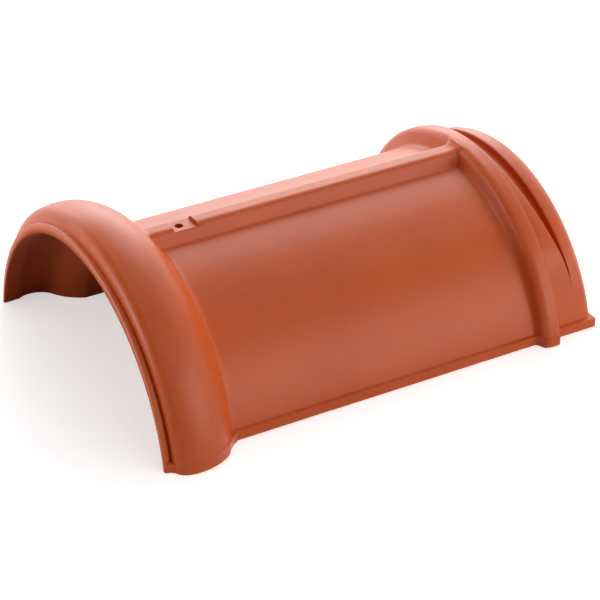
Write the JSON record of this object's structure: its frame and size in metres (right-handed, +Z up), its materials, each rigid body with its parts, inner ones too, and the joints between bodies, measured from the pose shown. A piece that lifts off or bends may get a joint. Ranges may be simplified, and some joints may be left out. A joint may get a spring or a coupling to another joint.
{
  "type": "clay ridge tile",
  "caption": "Half-round fired clay ridge tile with a bulging collar at one end, a crown band with a nail seat, and a ribbed, grooved head at the other.",
  "frame": {"origin": "middle of the foot plane, under the centre of the bounding box", "axes": "+X along the ridge from the collar to the head, +Y across, +Z up to the crown"},
  "size_m": [0.4, 0.3148, 0.1391],
  "materials": {
    "clay": "satin natural red engobe on fired clay"
  },
  "bodies": {
    "root": {"ridge_tile": "clay"}
  },
  "joints": []
}
